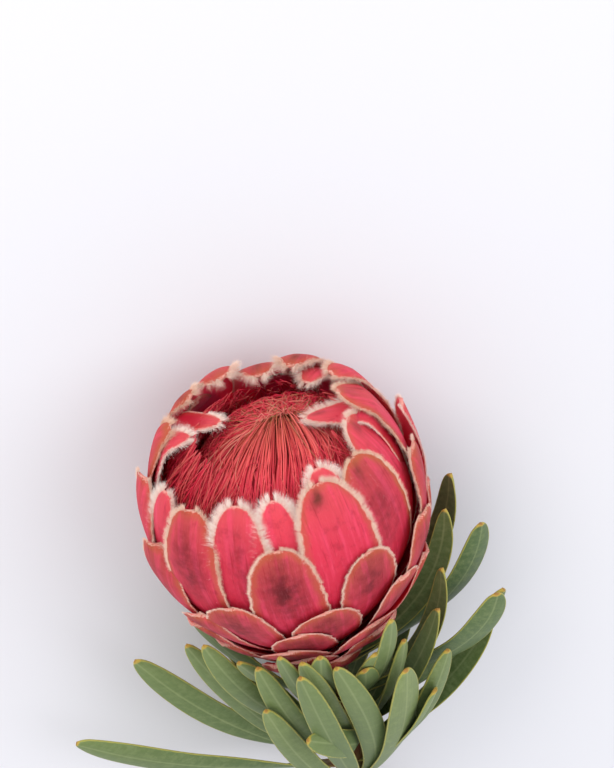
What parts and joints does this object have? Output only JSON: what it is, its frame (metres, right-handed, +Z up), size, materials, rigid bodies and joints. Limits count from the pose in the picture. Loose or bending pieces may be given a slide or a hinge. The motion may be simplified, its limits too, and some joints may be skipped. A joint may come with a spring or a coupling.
{
  "type": "protea flower",
  "caption": "Cut protea flower head with overlapping bracts, a full mass of styles and a leafy stem, lying on its side.",
  "frame": {"origin": "centre of the footprint of the flower's box, on the surface that it lies on", "axes": "+Y along the stem towards its cut end, +Z up from the surface"},
  "size_m": [0.1448, 0.2048, 0.0829],
  "materials": {
    "leafy_stem": "waxy grey-green leaves with a yellow edge, on a dull brownish-red woody stem",
    "outer_bracts": "matt dusky brick-red with a brown-orange margin",
    "middle_bracts": "matt dusky rose-red with a pale margin",
    "inner_bracts": "velvety warm pink with a white fringe of hairs at the edge",
    "style_mass": "glossy coral-red strands combed towards the top, crimson between them"
  },
  "bodies": {
    "root": {"leafy_stem": "leafy_stem", "outer_bracts": "outer_bracts", "middle_bracts": "middle_bracts", "inner_bracts": "inner_bracts", "style_mass": "style_mass"}
  },
  "joints": []
}
